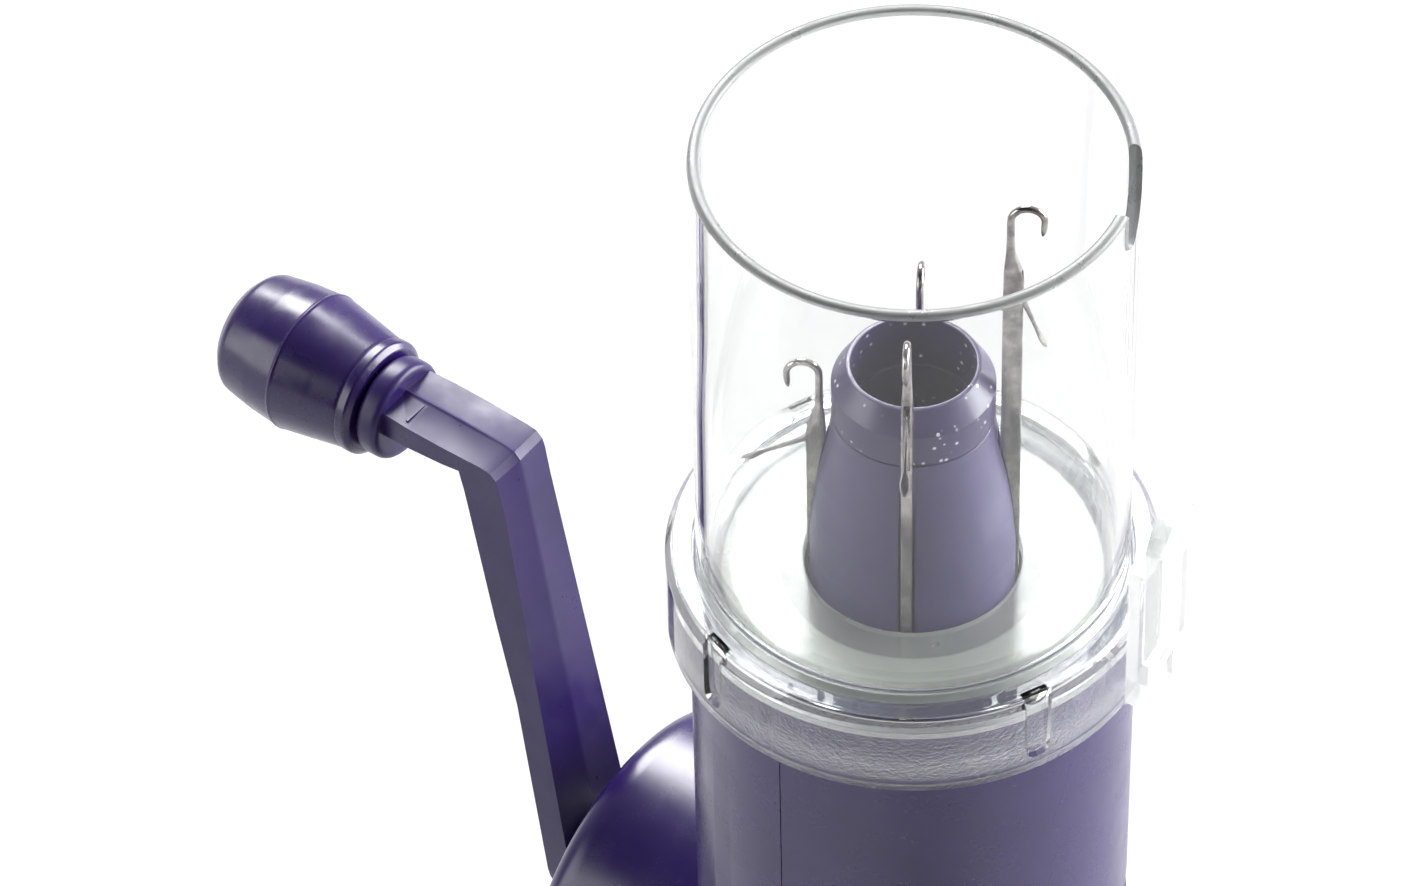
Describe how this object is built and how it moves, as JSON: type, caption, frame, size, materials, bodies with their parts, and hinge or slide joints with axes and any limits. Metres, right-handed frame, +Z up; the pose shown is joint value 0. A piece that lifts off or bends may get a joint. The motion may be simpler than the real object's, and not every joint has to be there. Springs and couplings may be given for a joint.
{
  "type": "hand-cranked cord knitter",
  "caption": "Hand-cranked tubular cord knitter: latch needles in a turning drum inside a clear yarn tube, on a violet round body with a side crank.",
  "frame": {"origin": "centre of the bounding box on the table plane; the drum axis is x = 0.0300 m, y = 0", "axes": "+Z up along the drum axis, -X along the crank shaft towards the knob, +Y to the side"},
  "size_m": [0.121, 0.0514, 0.2],
  "materials": {
    "violet_plastic": "smooth injection-moulded plastic, deep violet, semi-gloss",
    "clear_acrylic": "clear polished acrylic, faintly green-grey at its edges",
    "nickel_steel": "polished nickel-plated steel",
    "zinc_screw": "zinc-plated steel",
    "natural_acetal": "natural off-white acetal"
  },
  "bodies": {
    "frame": {"body_shell_crank_side": "violet_plastic", "body_shell_guide_side": "violet_plastic", "base_cap": "violet_plastic", "gear_housing_cover": "violet_plastic", "cam_ring_lower": "natural_acetal", "cam_ring_upper": "natural_acetal", "thrust_washer": "natural_acetal", "bearing_plate": "zinc_screw", "shaft_bush": "natural_acetal", "clear_tube": "clear_acrylic", "clear_collar": "clear_acrylic", "yarn_guide": "clear_acrylic", "body_screw_1": "zinc_screw", "body_screw_2": "zinc_screw", "body_screw_3": "zinc_screw", "body_screw_4": "zinc_screw", "cover_screw_1": "zinc_screw", "cover_screw_2": "zinc_screw", "cover_screw_3": "zinc_screw"},
    "crank": {"crank_arm": "violet_plastic", "crank_shaft": "nickel_steel", "drive_pinion": "natural_acetal", "shaft_clip": "zinc_screw", "crank_screw": "zinc_screw", "knob_axle": "nickel_steel"},
    "knob": {"knob": "violet_plastic"},
    "drum": {"needle_drum": "violet_plastic", "drum_nose": "violet_plastic", "crown_gear": "natural_acetal", "drum_clip": "zinc_screw"},
    "needle_1": {"needle_1": "nickel_steel", "latch_rivet_1": "nickel_steel"},
    "latch_1": {"latch_1": "nickel_steel"},
    "needle_2": {"needle_2": "nickel_steel", "latch_rivet_2": "nickel_steel"},
    "latch_2": {"latch_2": "nickel_steel"},
    "needle_3": {"needle_3": "nickel_steel", "latch_rivet_3": "nickel_steel"},
    "latch_3": {"latch_3": "nickel_steel"},
    "needle_4": {"needle_4": "nickel_steel", "latch_rivet_4": "nickel_steel"},
    "latch_4": {"latch_4": "nickel_steel"}
  },
  "joints": [
    {"name": "crank_turn", "type": "hinge", "parent": "frame", "child": "crank", "pos_m": [0.03002, 0, 0.068], "axis": [-1, 0, 0], "continuous": true},
    {"name": "knob_spin", "type": "hinge", "parent": "crank", "child": "knob", "pos_m": [-0.04998, 0, 0.1234], "axis": [-1, 0, 0], "continuous": true},
    {"name": "drum_turn", "type": "hinge", "parent": "frame", "child": "drum", "pos_m": [0.03002, 0, 0.1], "axis": [0, 0, 1], "continuous": true},
    {"name": "needle_1_slide", "type": "slide", "parent": "drum", "child": "needle_1", "axis": [0, 0, 1], "range_m": [-0.02255, 0.00253]},
    {"name": "latch_1_swing", "type": "hinge", "parent": "needle_1", "child": "latch_1", "pos_m": [0.03881, 0.00556, 0.18291], "axis": [-0.5344, 0.8453, 0], "range_deg": [-132, 10]},
    {"name": "needle_2_slide", "type": "slide", "parent": "drum", "child": "needle_2", "axis": [0, 0, 1], "range_m": [-0.00252, 0.02256]},
    {"name": "latch_2_swing", "type": "hinge", "parent": "needle_2", "child": "latch_2", "pos_m": [0.02447, 0.00879, 0.16288], "axis": [-0.8453, -0.5344, 0], "range_deg": [-137, 5]},
    {"name": "needle_3_slide", "type": "slide", "parent": "drum", "child": "needle_3", "axis": [0, 0, 1], "range_m": [-0.00026, 0.02482]},
    {"name": "latch_3_swing", "type": "hinge", "parent": "needle_3", "child": "latch_3", "pos_m": [0.02123, -0.00556, 0.16062], "axis": [0.5344, -0.8453, 0], "range_deg": [-90, 52]},
    {"name": "needle_4_slide", "type": "slide", "parent": "drum", "child": "needle_4", "axis": [0, 0, 1], "range_m": [-0.01403, 0.01105]},
    {"name": "latch_4_swing", "type": "hinge", "parent": "needle_4", "child": "latch_4", "pos_m": [0.03558, -0.00879, 0.17439], "axis": [0.8453, 0.5344, 0], "range_deg": [-127, 15]}
  ],
  "couplings": [
    {"joint": "drum_turn", "follows": "crank_turn", "ratio": -0.58333}
  ]
}
